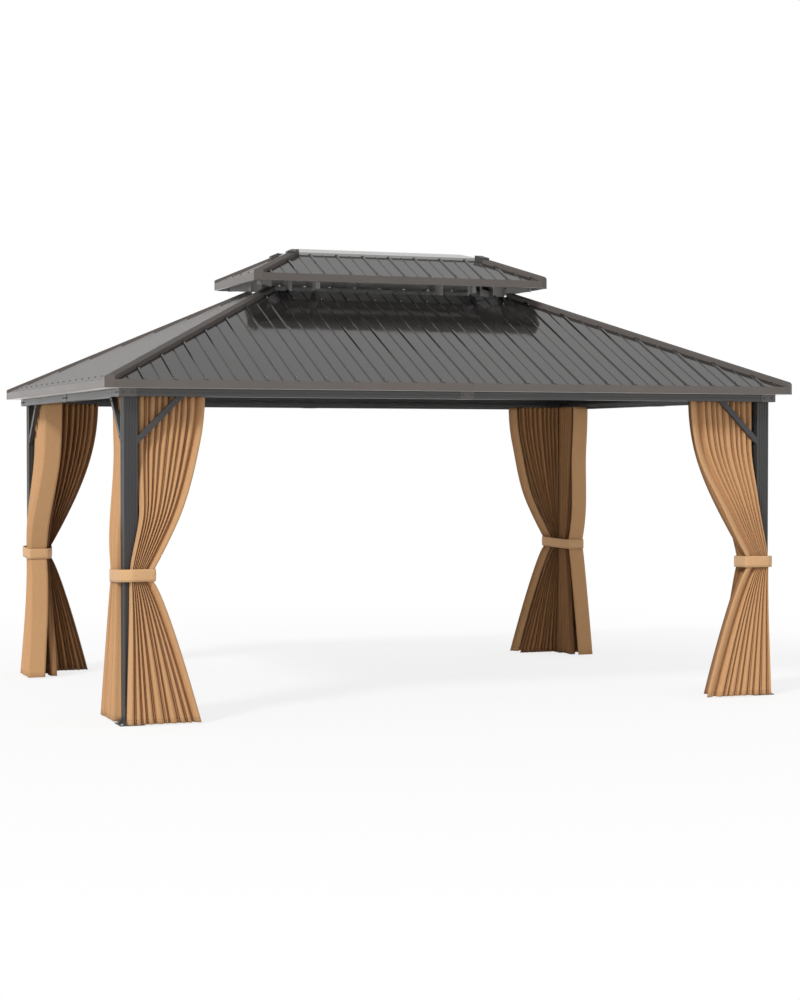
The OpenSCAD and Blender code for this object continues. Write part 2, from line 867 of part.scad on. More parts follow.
// Solid form of the lid, drawn in by the wall on all sides
module lid_form(wall) {
  edge = lid_ring_top + lid_rim - wall;
  ridge = edge + lid_rise;
  bottom = lid_ring_top - (wall > 0 ? 1 : 0);
  half_length = lid_length / 2 - wall;
  half_depth = lid_depth / 2 - wall;
  ridge_half = lid_length / 2 - lid_setback;
  intersection() {
    translate([-lid_length / 2, 0, 0])
      rotate([90, 0, 90])
        linear_extrude(lid_length)
          polygon([
            [-half_depth, bottom],
            [half_depth, bottom],
            [half_depth, edge],
            [0, ridge],
            [-half_depth, edge]
          ]);
    translate([0, lid_depth / 2, 0])
      rotate([90, 0, 0])
        linear_extrude(lid_depth)
          polygon([
            [-half_length, bottom],
            [half_length, bottom],
            [half_length, edge],
            [ridge_half, ridge],
            [-ridge_half, ridge],
            [-half_length, edge]
          ]);
  }
}

// Hollow hipped lid that closes the top of the upper roof
module ridge_lid() {
  color([0.62, 0.60, 0.58])
    difference() {
      lid_form(0);
      lid_form(cap_wall);
    }
}

// Share of the widening from the waist at the tie-back to the top of a gathered cloth
function widening(z) = sin(90 * (z - waist_top) / (curtain_top - waist_top));

// Free edge of a gathered cloth at a height, from its places at hem, waist and top
function free_edge(z, hem, waist, top) =
  z > waist_top
    ? waist + (top - waist) * widening(z)
    : lookup(z, [[hem_height, hem], [waist_bottom, waist]]);

// Heights at which a gathered cloth bends
function bend_heights() = [
  hem_height,
  waist_bottom,
  for (stretch = [[waist_top, out_z], [out_z, brace_foot], [brace_foot, curtain_top]])
    for (share = [0, 1/3, 2/3])
      stretch[0] + (stretch[1] - stretch[0]) * share,
  curtain_top
];

// A gathered cloth through stations, each with its height, post edge, free edge and middle line
module cloth_through(stations, thickness) {
  last = 4 * (len(stations) - 1);
  polyhedron(
    points = [
      for (station = stations)
        for (corner = [[1, -1], [2, -1], [2, 1], [1, 1]])
          [station[corner[0]], station[3] + corner[1] * thickness / 2, station[0]]
    ],
    faces = concat(
      [[0, 1, 2, 3]],
      [
        for (level = [0 : 4 : last - 4])
          for (side = [0 : 3])
            let (next = (side + 1) % 4)
              [level + side, level + 4 + side, level + 4 + next, level + next]
      ],
      [[last + 3, last + 2, last + 1, last]]
    )
  );
}

// A curtain at the front left post, along the front, by its post edges and middle lines below the brace
module gathered_curtain(hem_start, waist_start, hem_middle, waist_middle) {
  post_edges = [
    [hem_height, hem_start],
    [waist_bottom, waist_start],
    [waist_top, waist_start],
    [out_z, curtain_start]
  ];
  lines = [
    [hem_height, hem_middle],
    [waist_bottom, waist_middle],
    [out_z, waist_middle],
    [brace_foot, curtain_line]
  ];
  tie_end = waist_start + curtain_tie_width;
  top_end = curtain_start + curtain_top_width;
  cloth_through(
    [
      for (z = bend_heights())
        [z, lookup(z, post_edges), free_edge(z, curtain_hem_width, tie_end, top_end), lookup(z, lines)]
    ],
    curtain_depth
  );
}

// A net beside the front left post, along the front side
module gathered_net(start) {
  hem_end = start + net_hem_width;
  tie_end = start + net_tie_width;
  top_end = start + curtain_top_width;
  cloth_through(
    [for (z = bend_heights()) [z, start, free_edge(z, hem_end, tie_end, top_end), net_line]],
    net_depth
  );
}

// Two curtains at one corner: one is drawn in front of the post, and the other stays beside it
module curtains(right, back) {
  color(curtain_color)
    at_corner(right, back)
      from_post_corner() {
        gathered_curtain(0, tie_start, hem_line, tie_line);
        mirror([1, -1, 0])
          gathered_curtain(side_hem_start, curtain_start, side_line - side_flare, side_line);
      }
}

// Two nets at one corner, inside the curtains
module nets(right, back) {
  color(net_color)
    at_corner(right, back)
      from_post_corner() {
        gathered_net(net_start);
        mirror([1, -1, 0]) gathered_net(side_net_start);
      }
}

// Outline of what a tie-back holds together, widened by a wall
module tie_outline(wall) {
  outer = soft_gap + wall;
  front = tie_line - curtain_depth / 2 - outer;
  curtain_end = tie_start + curtain_tie_width + outer;
  beside = min(0, side_line - curtain_depth / 2) - outer;
  beside_end = curtain_start + curtain_tie_width + outer;
  net_end = net_start + net_tie_width + outer;
  side_end = side_net_start + net_tie_width + outer;
  net_near = net_line - net_depth / 2 - outer;
  net_far = net_line + net_depth / 2 + outer;
  polygon([
    [tie_start, front],
    [curtain_end, front],
    [net_end, net_near],
    [net_end, net_far],
    [net_far, side_end],
    [net_near, side_end],
    [beside, beside_end],
    [beside, 0]
  ]);
}

// Straps that hold the curtains and nets to the posts
module tie_backs() {
  color(curtain_color)
    at_corners()
      from_post_corner()
        translate([0, 0, tie_height - tie_strap / 2])
          linear_extrude(tie_strap)
            difference() {
              tie_outline(tie_thickness);
              tie_outline(0);
            }
}

post(0, 0);  // post_front_left
post(1, 0);  // post_front_right
post(0, 1);  // post_back_left
post(1, 1);  // post_back_right
foot(0, 0);  // foot_front_left
foot(1, 0);  // foot_front_right
foot(0, 1);  // foot_back_left
foot(1, 1);  // foot_back_right
beam(0);  // beam_front
beam(1);  // beam_right
beam(2);  // beam_back
beam(3);  // beam_left
corner_covers();
splice_covers();
knee_braces();
curtain_tracks();
eave_rails();
hip_rafters();
common_rafters();
vent_ring();
vent_brackets();
upper_frame();
roof_sheet(0);  // roof_sheet_front
roof_sheet(1);  // roof_sheet_right
roof_sheet(2);  // roof_sheet_back
roof_sheet(3);  // roof_sheet_left
eave_fascia();
hip_caps();
upper_sheet(0);  // upper_sheet_front
upper_sheet(1);  // upper_sheet_right
upper_sheet(2);  // upper_sheet_back
upper_sheet(3);  // upper_sheet_left
upper_fascia();
upper_hip_caps();
hip_end_blocks();
ridge_lid();
curtains(0, 0);  // curtains_front_left
curtains(1, 0);  // curtains_front_right
curtains(0, 1);  // curtains_back_left
curtains(1, 1);  // curtains_back_right
nets(0, 0);  // nets_front_left
nets(1, 0);  // nets_front_right
nets(0, 1);  // nets_back_left
nets(1, 1);  // nets_back_right
tie_backs();
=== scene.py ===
import math

import bpy
import numpy as np
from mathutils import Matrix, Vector


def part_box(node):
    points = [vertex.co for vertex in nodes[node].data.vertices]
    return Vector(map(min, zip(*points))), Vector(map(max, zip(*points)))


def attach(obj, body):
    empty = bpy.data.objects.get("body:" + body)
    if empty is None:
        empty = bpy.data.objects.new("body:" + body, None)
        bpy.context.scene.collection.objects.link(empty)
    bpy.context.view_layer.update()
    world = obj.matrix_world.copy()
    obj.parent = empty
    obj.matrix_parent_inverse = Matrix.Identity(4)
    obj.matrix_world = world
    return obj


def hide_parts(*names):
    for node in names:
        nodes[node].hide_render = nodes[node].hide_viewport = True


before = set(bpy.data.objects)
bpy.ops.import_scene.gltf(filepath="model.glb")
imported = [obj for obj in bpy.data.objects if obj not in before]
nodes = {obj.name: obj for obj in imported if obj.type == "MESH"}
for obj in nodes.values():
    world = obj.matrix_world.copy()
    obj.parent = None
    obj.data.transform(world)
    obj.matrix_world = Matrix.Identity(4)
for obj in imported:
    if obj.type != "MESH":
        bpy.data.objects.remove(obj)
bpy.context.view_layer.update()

# Posts and feet. Each post is a fluted square aluminium tube, powder coated in slate grey, on a steel foot
# plate with gussets. The plate is held to the ground by four anchor bolts with washers.
CORNERS = {
    "front_left": (-1, -1),
    "front_right": (1, -1),
    "back_left": (-1, 1),
    "back_right": (1, 1),
}


def add(tree, kind, links=(), **props):
    """A node with its properties, and its inputs set to a value or joined to a socket."""
    node = tree.nodes.new(kind)
    for name, value in props.items():
        setattr(node, name, value)
    for name, value in dict(links).items():
        if isinstance(value, bpy.types.NodeSocket):
            tree.links.new(value, node.inputs[name])
        else:
            node.inputs[name].default_value = value
    return node


def calc(tree, operation, first, second=0.5, clamp=False):
    """The result of a sum on one or two values."""
    return add(tree, "ShaderNodeMath", {0: first, 1: second}, operation=operation, use_clamp=clamp).outputs[0]


def facing_part(tree, normal, axis):
    """One part of the direction that a surface faces."""
    facing = add(tree, "ShaderNodeNewGeometry").outputs[normal]
    return add(tree, "ShaderNodeSeparateXYZ", {0: facing}).outputs[axis]


def noise(tree, place, scale, detail):
    """A cloudy value over a surface."""
    return add(tree, "ShaderNodeTexNoise", {"Vector": place, "Scale": scale, "Detail": detail}).outputs["Fac"]


def new_group(name, inputs, outputs):
    """An empty shader group with float or colour sockets, and its two end nodes."""
    tree = bpy.data.node_groups.new(name, "ShaderNodeTree")
    for label, value in inputs.items():
        kind = "NodeSocketColor" if isinstance(value, tuple) else "NodeSocketFloat"
        tree.interface.new_socket(label, in_out="INPUT", socket_type=kind).default_value = value
    for label, kind in outputs.items():
        tree.interface.new_socket(label, in_out="OUTPUT", socket_type=kind)
    return tree, tree.nodes.new("NodeGroupInput").outputs, tree.nodes.new("NodeGroupOutput").inputs


def mix_colour(tree, share, first, second):
    """The colour between two colours, by a share."""
    node = add(tree, "ShaderNodeMix", data_type="RGBA")
    for place, value in ((0, share), (6, first), (7, second)):
        if isinstance(value, bpy.types.NodeSocket):
            tree.links.new(value, node.inputs[place])
        else:
            node.inputs[place].default_value = value
    return node.outputs[2]


def stretch(tree, value, low, high, to_low, to_high):
    """A value carried from one range to another and held inside it."""
    links = {"Value": value, "From Min": low, "From Max": high, "To Min": to_low, "To Max": to_high}
    return add(tree, "ShaderNodeMapRange", links).outputs["Result"]


def coat_group():
    """Paint on metal: cloudy tone, fine orange peel, and dust that settles low down and on flat tops."""
    tree, given, out = new_group(
        "coat",
        {"Colour": (0.1, 0.1, 0.1, 1), "Dust": (0.5, 0.47, 0.43, 1), "Tone": 0.1, "Dusting": 0.1, "Gloss": 0.4},
        {"Colour": "NodeSocketColor", "Roughness": "NodeSocketFloat", "Height": "NodeSocketFloat"},
    )
    place = add(tree, "ShaderNodeTexCoord").outputs["Object"]
    cloud = noise(tree, place, 2.3, 5.0)
    peel = noise(tree, place, 420.0, 2.0)
    fleck = noise(tree, place, 60.0, 6.0)
    swing = calc(tree, "MULTIPLY", stretch(tree, cloud, 0.3, 0.7, -1, 1), given["Tone"])
    gain = calc(tree, "ADD", swing, 1.0)
    toned = add(tree, "ShaderNodeVectorMath", {0: given["Colour"], "Scale": gain}, operation="SCALE").outputs[0]
    upward = facing_part(tree, "Normal", "Z")
    height = add(tree, "ShaderNodeSeparateXYZ", {0: place}).outputs["Z"]
    on_tops, low_down = stretch(tree, upward, 0.2, 1.0, 0, 1), stretch(tree, height, 0.0, 0.3, 1, 0)
    settled = calc(tree, "MULTIPLY", on_tops, stretch(tree, fleck, 0.35, 0.7, 0.2, 1))
    splashed = calc(tree, "MULTIPLY", low_down, stretch(tree, fleck, 0.4, 0.65, 0, 1))
    dusty = calc(tree, "MULTIPLY", calc(tree, "ADD", settled, splashed), given["Dusting"], clamp=True)
    tree.links.new(mix_colour(tree, dusty, toned, given["Dust"]), out["Colour"])
    dull = calc(tree, "ADD", stretch(tree, cloud, 0.3, 0.7, -0.03, 0.03), dusty)
    tree.links.new(calc(tree, "ADD", given["Gloss"], dull, clamp=True), out["Roughness"])
    tree.links.new(peel, out["Height"])
    return tree


COAT = coat_group()


def painted(name, colour, gloss, tone=0.08, dusting=0.1, edge=0.002, backing=None, inner=False, flank_reflection=None):
    """A painted metal finish with soft edges, other colours on its undersides or inner sides, and a paler colour on
    rib flanks as a painted reflection.
    """
    material = bpy.data.materials.new(name)
    material.use_nodes = True
    tree = material.node_tree
    shader = tree.nodes["Principled BSDF"]
    paint = add(tree, "ShaderNodeGroup", node_tree=COAT)
    for label, value in (("Colour", (*colour, 1)), ("Tone", tone), ("Dusting", dusting), ("Gloss", gloss)):
        paint.inputs[label].default_value = value
    shade = paint.outputs["Colour"]
    if backing:
        under = stretch(tree, facing_part(tree, "Normal", "Z"), -0.3, -0.4, 0, 1)
        if inner:
            facing = add(tree, "ShaderNodeNewGeometry").outputs["Normal"]
            spot = add(tree, "ShaderNodeTexCoord").outputs["Object"]
            level = add(tree, "ShaderNodeVectorMath", {0: spot, 1: (1, 1, 0)}, operation="MULTIPLY").outputs[0]
            away = add(tree, "ShaderNodeVectorMath", {0: level, 1: facing}, operation="DOT_PRODUCT").outputs["Value"]
            under = calc(tree, "MAXIMUM", under, stretch(tree, away, -0.1, -0.2, 0, 1))
        shade = mix_colour(tree, under, shade, (*backing, 1))
    # Painted reflection: faces turned sideways, the rib flanks, take the paler colour.
    if flank_reflection:
        sideways = calc(tree, "ABSOLUTE", facing_part(tree, "True Normal", "Y"))
        shade = mix_colour(tree, stretch(tree, sideways, 0.1, 0.3, 0, 1), shade, (*flank_reflection, 1))
    tree.links.new(shade, shader.inputs["Base Color"])
    tree.links.new(paint.outputs["Roughness"], shader.inputs["Roughness"])
    rounded = add(tree, "ShaderNodeBevel", {"Radius": edge}, samples=4).outputs[0]
    links = {"Strength": 0.05, "Distance": 0.0001, "Height": paint.outputs["Height"], "Normal": rounded}
    tree.links.new(add(tree, "ShaderNodeBump", links).outputs[0], shader.inputs["Normal"])
    return material


def paint_nodes(material, *names):
    """Gives CAD nodes a finish."""
    for name in names:
        slots = nodes[name].data.materials
        slots.clear()
        slots.append(material)


slate_coat = painted("slate_coat", (0.042, 0.0415, 0.042), 0.36, dusting=0.12)
zinc_steel = painted("zinc_steel", (0.42, 0.42, 0.41), 0.38, tone=0.15, dusting=0.3, edge=0.0008)
zinc_steel.node_tree.nodes["Principled BSDF"].inputs["Metallic"].default_value = 0.85
for corner in CORNERS:
    paint_nodes(slate_coat, "post_" + corner, "foot_" + corner)


def screw_tree():
    """Screws at points: a hexagon head on a round washer, turned by the points' attribute turn."""
    tree = bpy.data.node_groups.new("hex_screws", "GeometryNodeTree")
    socket = tree.interface.new_socket
    socket("Points", in_out="INPUT", socket_type="NodeSocketGeometry")
    for label in ("Head Radius", "Head Height", "Washer Radius", "Washer Height"):
        socket(label, in_out="INPUT", socket_type="NodeSocketFloat")
    socket("Finish", in_out="INPUT", socket_type="NodeSocketMaterial")
    socket("Screws", in_out="OUTPUT", socket_type="NodeSocketGeometry")
    given = add(tree, "NodeGroupInput").outputs
    join = add(tree, "GeometryNodeJoinGeometry")
    lift = 0.0
    for part, sides in (("Washer", 14), ("Head", 6)):
        links = {"Vertices": sides, "Radius": given[part + " Radius"], "Depth": given[part + " Height"]}
        disc = add(tree, "GeometryNodeMeshCylinder", links)
        rise = calc(tree, "ADD", calc(tree, "MULTIPLY", given[part + " Height"], 0.5), lift)
        move = add(tree, "ShaderNodeCombineXYZ", {"Z": rise}).outputs[0]
        shifted = add(tree, "GeometryNodeTransform", {"Geometry": disc.outputs["Mesh"], "Translation": move})
        tree.links.new(shifted.outputs[0], join.inputs[0])
        lift = given["Washer Height"]
    turn = add(tree, "GeometryNodeInputNamedAttribute", {"Name": "turn"}, data_type="FLOAT_VECTOR").outputs[0]
    turned = add(tree, "FunctionNodeEulerToRotation", {0: turn}).outputs[0]
    links = {"Points": given["Points"], "Instance": join.outputs[0], "Rotation": turned}
    spread = add(tree, "GeometryNodeInstanceOnPoints", links).outputs[0]
    real = add(tree, "GeometryNodeRealizeInstances", {0: spread}).outputs[0]
    done = add(tree, "GeometryNodeSetMaterial", {"Geometry": real, "Material": given["Finish"]}).outputs[0]
    tree.links.new(done, add(tree, "NodeGroupOutput").inputs[0])
    return tree


HEX_SCREWS = screw_tree()


def spread_screws(name, places, values):
    """Sets screws on points with a direction each, and keeps the result as a plain mesh."""
    mesh = bpy.data.meshes.new(name)
    mesh.from_pydata([tuple(at) for at, axis in places], [], [])
    turns = mesh.attributes.new("turn", "FLOAT_VECTOR", "POINT")
    for item, (at, axis) in zip(turns.data, places):
        item.vector = Vector(axis).to_track_quat("Z", "Y").to_euler()
    piece = bpy.data.objects.new(name, mesh)
    bpy.context.scene.collection.objects.link(piece)
    maker = piece.modifiers.new("maker", "NODES")
    maker.node_group = HEX_SCREWS
    for item in HEX_SCREWS.interface.items_tree:
        if item.in_out == "INPUT" and item.name in values:
            maker[item.identifier] = values[item.name]
    plain = bpy.data.meshes.new_from_object(piece.evaluated_get(bpy.context.evaluated_depsgraph_get()))
    piece.modifiers.remove(maker)
    piece.data = plain
    plain.name = name
    if plain.attributes.get("turn"):
        plain.attributes.remove(plain.attributes["turn"])
    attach(piece, "root")


FOOT_TOP = 0.006
ANCHOR_REACH = 0.0625
anchors = []
for corner in CORNERS:
    low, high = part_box("foot_" + corner)
    middle = [(low[i] + high[i]) / 2 for i in range(2)]
    for dx in (-ANCHOR_REACH, ANCHOR_REACH):
        for dy in (-ANCHOR_REACH, ANCHOR_REACH):
            anchors.append(((middle[0] + dx, middle[1] + dy, FOOT_TOP), (0, 0, 1)))
ANCHOR_SIZES = {
    "Head Radius": 0.0092,
    "Head Height": 0.007,
    "Washer Radius": 0.0115,
    "Washer Height": 0.0016,
    "Finish": zinc_steel,
}
spread_screws("anchor_bolts", anchors, ANCHOR_SIZES)

# Beams, knee braces and covers. The beams are grooved aluminium sections in two lengths, slate grey, with folded
# covers in brown grey over their corners and joints. The covers and braces are held by small hexagon screws.
cover_coat = painted("cover_coat", (0.115, 0.105, 0.099), 0.36, dusting=0.1)
dark_screws = painted("dark_screws", (0.07, 0.07, 0.075), 0.35, edge=0.0006)
beam_coat = painted("beam_coat", (0.066, 0.0645, 0.0635), 0.34, dusting=0.1)
paint_nodes(beam_coat, "beam_front", "beam_back", "beam_left", "beam_right")
paint_nodes(slate_coat, "knee_braces")
paint_nodes(cover_coat, "corner_covers", "splice_covers")

post_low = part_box("post_front_left")[0]
POST_X, POST_Y = -post_low[0], -post_low[1]
POST_SIZE = 0.09
COVER_LIP = 0.002
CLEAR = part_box("corner_covers")[0][2] + COVER_LIP
COVER_X, COVER_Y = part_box("corner_covers")[1][:2]
COVER_ALONG, COVER_UP, SPLICE_ALONG = (0.028, 0.088), (0.025, 0.075), (-0.032, 0.032)
BRACE_NEAR, BRACE_FAR, BRACE_SET = 0.024, 0.25, 0.001
BRACE_ENDS = ((BRACE_NEAR, BRACE_FAR), (BRACE_FAR, BRACE_NEAR))
screws = []
for sx, sy in CORNERS.values():
    for along in COVER_ALONG:
        for up in COVER_UP:
            screws.append(((sx * (COVER_X - along), sy * COVER_Y, CLEAR + up), (0, sy, 0)))
            screws.append(((sx * COVER_X, sy * (COVER_Y - along), CLEAR + up), (sx, 0, 0)))
    for near, down in BRACE_ENDS:
        reach = POST_SIZE + near
        screws.append(((sx * (POST_X - reach), sy * (POST_Y - BRACE_SET), CLEAR - down), (0, sy, 0)))
        screws.append(((sx * (POST_X - BRACE_SET), sy * (POST_Y - reach), CLEAR - down), (sx, 0, 0)))
for way in (-1, 1):
    for along in SPLICE_ALONG:
        for up in COVER_UP:
            screws.append(((along, way * COVER_Y, CLEAR + up), (0, way, 0)))
            screws.append(((way * COVER_X, along, CLEAR + up), (way, 0, 0)))
COVER_SIZES = {
    "Head Radius": 0.0058,
    "Head Height": 0.004,
    "Washer Radius": 0.0075,
    "Washer Height": 0.001,
    "Finish": dark_screws,
}
spread_screws("frame_screws", screws, COVER_SIZES)

# Curtain tracks and roof frame. Double aluminium tracks run along the inside of the beams, and square steel tubes
# under the sheets carry the roof: eave rails, hips, rafters, the ring round the vent and the upper frame.
bracket_coat = painted("bracket_coat", (0.48, 0.47, 0.465), 0.34, dusting=0.05)
inner_coat = painted("inner_coat", (0.026, 0.0258, 0.026), 0.4, dusting=0.06)
paint_nodes(inner_coat, "curtain_tracks", "eave_rails", "hip_rafters", "common_rafters", "vent_ring", "upper_frame")
paint_nodes(bracket_coat, "vent_brackets")

# Roof sheets. Coil coated steel sheets with low ribs and a lower swage between them, dark brown grey and glossy,
# cut to the hips. Screws with washers hold each rib near the eave, and on the lower roof near the top too. The end
# slopes have paler rib flanks, a tone chosen for the look: painted light, a painted reflection on those slopes.
# The paler flank colour is painted light, a painted reflection on the rib flanks of the end slopes.
ROOF_COLOUR, FLANK_REFLECTION_COLOUR = (0.018, 0.0165, 0.016), (0.25, 0.242, 0.238)
ROOF_PAINT = {"gloss": 0.09, "tone": 0.1, "dusting": 0.012, "backing": (0.78, 0.78, 0.77)}
roof_coat = painted("roof_coat", ROOF_COLOUR, edge=0.0012, **ROOF_PAINT)
# The end slopes' paint carries the painted reflection on its rib flanks.
side_coat_with_reflection = painted("side_coat_with_reflection", ROOF_COLOUR, edge=0.0004, flank_reflection=FLANK_REFLECTION_COLOUR, **ROOF_PAINT)
for coat in (roof_coat, side_coat_with_reflection):
    gloss = coat.node_tree.nodes["Principled BSDF"].inputs
    gloss["IOR"].default_value = 1.41
    gloss["Specular Tint"].default_value = (1.0, 0.962, 0.945, 1.0)
paint_nodes(roof_coat, "roof_sheet_front", "roof_sheet_back", "upper_sheet_front", "upper_sheet_back")
paint_nodes(side_coat_with_reflection, "roof_sheet_left", "roof_sheet_right", "upper_sheet_left", "upper_sheet_right")
RIB_PITCH, RIB_TOP, CAP_ROOM = 0.2, 0.0102, 0.075


def slope_screws(length, depth, base, pitch, run, rows):
    """Places of the screws on the ribs of a roof's four slopes."""
    found = []
    axis = Vector((0, -math.sin(pitch), math.cos(pitch)))
    for way in range(4):
        half, out = (length / 2, depth / 2) if way % 2 == 0 else (depth / 2, length / 2)
        turn = math.pi / 2 * way
        c, s = round(math.cos(turn)), round(math.sin(turn))
        facing = (-s * axis.y, c * axis.y, axis.z)
        for row in rows:
            back = row * run
            last = int((half - back - CAP_ROOM) / RIB_PITCH)
            for rib in range(-last, last + 1):
                at = Vector((rib * RIB_PITCH, -out + back, base + back * math.tan(pitch))) + axis * RIB_TOP
                found.append(((c * at.x - s * at.y, s * at.x + c * at.y, at.z), facing))
    return found


roof_low, roof_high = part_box("eave_fascia")
upper_low, upper_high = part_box("upper_fascia")
RIB_DROP = 0.009
LOWER_RUN, UPPER_RUN = 1.495, 0.379
LOWER_PITCH, UPPER_PITCH = math.radians(25), math.radians(24.5)
LOWER_ROWS, UPPER_ROWS = (0.04, 0.9), (0.14,)
lower_size = [roof_high[i] - roof_low[i] for i in range(2)]
upper_size = [upper_high[i] - upper_low[i] for i in range(2)]
roof_screws = slope_screws(*lower_size, roof_high[2] - RIB_DROP, LOWER_PITCH, LOWER_RUN, LOWER_ROWS)
roof_screws += slope_screws(*upper_size, upper_high[2] - RIB_DROP, UPPER_PITCH, UPPER_RUN, UPPER_ROWS)
ROOF_SIZES = {
    "Head Radius": 0.0048,
    "Head Height": 0.0045,
    "Washer Radius": 0.0085,
    "Washer Height": 0.0015,
    "Finish": roof_coat,
}
spread_screws("roof_screws", roof_screws, ROOF_SIZES)

# Fascia, hip caps, end blocks and ridge lid. Folded brown grey trim closes the eaves and the hips, moulded blocks
# close the upper ends of the hips, and a pressed lid closes the ridge.
TRIM_COLOUR = (0.114, 0.0965, 0.087)
trim_coat = painted("trim_coat", TRIM_COLOUR, 0.30, dusting=0.08, backing=(0.8, 0.8, 0.79), inner=True)
lid_coat = painted("lid_coat", (0.33, 0.325, 0.32), 0.28, tone=0.05, dusting=0.02, backing=(0.6, 0.6, 0.59))
block_plastic = painted("block_plastic", (0.03, 0.029, 0.029), 0.45, edge=0.003)
cap_coat = painted("cap_coat", (0.060, 0.052, 0.048), 0.55, dusting=0.03)
tree = cap_coat.node_tree
shader = tree.nodes["Principled BSDF"]
shader.inputs["Specular IOR Level"].default_value = 0.22
upright = stretch(tree, facing_part(tree, "True Normal", "Z"), 0.2, 0.4, 1, 0)
toned = shader.inputs["Base Color"].links[0].from_socket
tree.links.new(mix_colour(tree, upright, toned, (*TRIM_COLOUR, 1)), shader.inputs["Base Color"])
paint_nodes(trim_coat, "eave_fascia", "upper_fascia")
paint_nodes(cap_coat, "hip_caps", "upper_hip_caps")
paint_nodes(block_plastic, "hip_end_blocks")
paint_nodes(lid_coat, "ridge_lid")

# Curtains. At each corner two woven polyester panels, each cut to close half an opening, hang from the outer track,
# gathered in deep pleats with a flat border down the free edge. The tie-back draws one in front of the post and
# holds the other beside it, and both fan out to the hem.
HEM, TOP = 0.010, 2.0737
TIE, STRAP = 0.935, 0.078
WAIST_LOW, WAIST_HIGH = TIE - STRAP / 2, TIE + STRAP / 2
BRACE_FOOT, OUT_Z, SIDE_OUT_Z = 1.757, 1.25, 1.05
CURTAIN_DEPTH, CURTAIN_THICK = 0.060, 0.0007
ROWS_BELOW, ROWS_TIED, ROWS_ABOVE = 24, 16, 38
TIED_BELOW, TIED_ABOVE, TIE_SPREAD = 0.06, 0.10, 0.16
PLEAT_STEPS, PLEAT_ROUND, LEAST_SWELL = 16, 0.45, 0.62
DRIFT, TIED_STILL = 0.34, 0.7
DRIFT_BEND, DRIFT_BEAT, DRIFT_EVEN, DRIFT_UNEVEN = 0.8, 1.9, 0.7, 0.3
SWELL_CHANGE, SWELL_BEND = 0.10, 2.3
BACK_FOLD, BACK_HEIGHT = 0.1875, 0.8
BACK_GAP, BACK_LEAST, BACK_MOST = 0.0026, 0.07, 0.18
BORDER_SHARE, BORDER_MOST, BORDER_PROUD, BORDER_BEND = 0.92, 0.42, 0.45, 0.62
TURN_WIDE, TURN_SET = 0.022, 0.006
TURN_STEPS, BORDER_STEPS = 15, 8
TURN_SHARES, TURN_ALONG = (0, 0.28, 0.42, 1), (0, 0.5, 0.9, 1)


def ease(value, low, high):
    """A smooth step from 0 to 1 between two values."""
    share = min(1.0, max(0.0, (value - low) / (high - low)))
    return share * share * (3 - 2 * share)


def sheet_rows():
    """Heights of the rows of a hanging sheet, closer together near the tie-back."""
    below, above = WAIST_LOW - TIED_BELOW, WAIST_HIGH + TIED_ABOVE
    low = np.linspace(HEM, below, ROWS_BELOW, endpoint=False)
    tie = np.linspace(below, above, ROWS_TIED, endpoint=False)
    return np.concatenate([low, tie, np.linspace(above, TOP, ROWS_ABOVE)])


def steps_along(points):
    """The length walked along a row of points, at each point."""
    return np.cumsum(np.r_[0, np.linalg.norm(np.diff(points, axis=0), axis=1)])


def walled(name, mesh, thick):
    """A piece made from an open sheet, given its thickness."""
    mesh.polygons.foreach_set("use_smooth", [True] * len(mesh.polygons))
    piece = bpy.data.objects.new(name, mesh)
    bpy.context.scene.collection.objects.link(piece)
    wall = piece.modifiers.new("wall", "SOLIDIFY")
    wall.thickness = thick
    wall.offset = 0
    plain = bpy.data.meshes.new_from_object(piece.evaluated_get(bpy.context.evaluated_depsgraph_get()))
    piece.modifiers.remove(wall)
    piece.data = plain
    return piece


